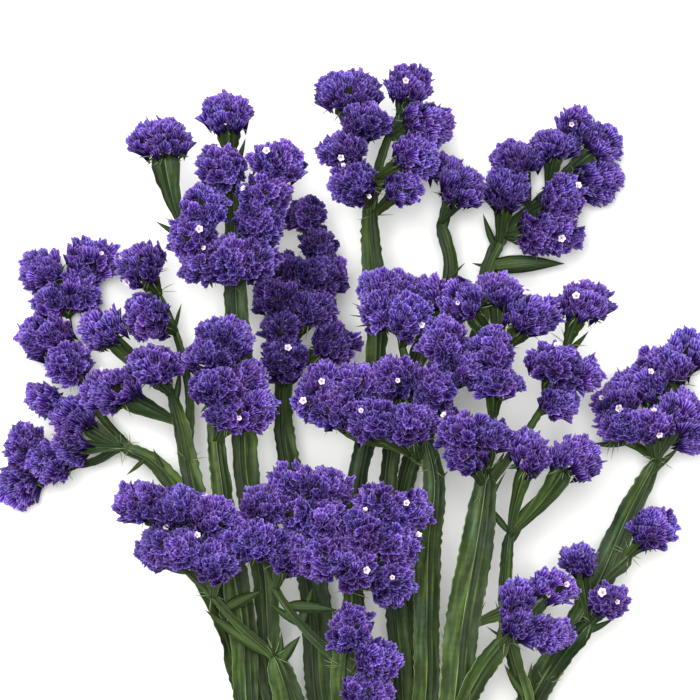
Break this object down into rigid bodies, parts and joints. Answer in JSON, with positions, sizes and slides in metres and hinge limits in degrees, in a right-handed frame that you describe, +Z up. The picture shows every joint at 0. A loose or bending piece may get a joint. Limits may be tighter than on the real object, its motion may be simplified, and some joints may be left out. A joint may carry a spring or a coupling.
{
  "type": "dried statice bunch",
  "caption": "Tied bunch of statice lying down: winged green stems fork to stalks with dense heads of papery violet florets.",
  "frame": {"origin": "on the floor, under the middle of the bunch's box", "axes": "+Y along the bunch, from the cut ends to the flowers; +Z up from the floor; +X to the right of the picture"},
  "size_m": [0.3272, 0.5696, 0.0998],
  "materials": {
    "flowers": "dry, papery, matte",
    "stems": "leafy green, low sheen",
    "tie": "rough natural twine"
  },
  "bodies": {
    "root": {"flowers_centre_left_1": "flowers", "flowers_centre_right_1": "flowers", "flowers_centre_right_2": "flowers", "flowers_centre_right_3": "flowers", "flowers_centre_right_4": "flowers", "flowers_front_centre_1": "flowers", "flowers_front_left_1": "flowers", "flowers_left_high_1": "flowers", "flowers_left_high_2": "flowers", "flowers_left_high_3": "flowers", "flowers_left_high_4": "flowers", "flowers_left_low_1": "flowers", "flowers_left_low_2": "flowers", "flowers_left_low_3": "flowers", "flowers_left_low_4": "flowers", "flowers_low_right_1": "flowers", "flowers_lower_left_1": "flowers", "flowers_right_1": "flowers", "flowers_right_2": "flowers", "flowers_right_3": "flowers", "flowers_right_4": "flowers", "flowers_top_back_1": "flowers", "flowers_top_centre_1": "flowers", "flowers_top_centre_2": "flowers", "flowers_top_centre_3": "flowers", "flowers_top_centre_4": "flowers", "flowers_top_centre_5": "flowers", "flowers_top_right_1": "flowers", "flowers_top_right_2": "flowers", "flowers_top_right_3": "flowers", "flowers_upper_back_1": "flowers", "flowers_upper_back_2": "flowers", "flowers_upper_left_1": "flowers", "flowers_upper_left_2": "flowers", "flowers_upper_left_3": "flowers", "stem_centre_left": "stems", "stem_centre_right": "stems", "stem_front_centre": "stems", "stem_front_left": "stems", "stem_left_high": "stems", "stem_left_low": "stems", "stem_low_right": "stems", "stem_lower_left": "stems", "stem_right": "stems", "stem_top_back": "stems", "stem_top_centre": "stems", "stem_top_right": "stems", "stem_upper_back": "stems", "stem_upper_left": "stems", "tie": "tie"}
  },
  "joints": []
}
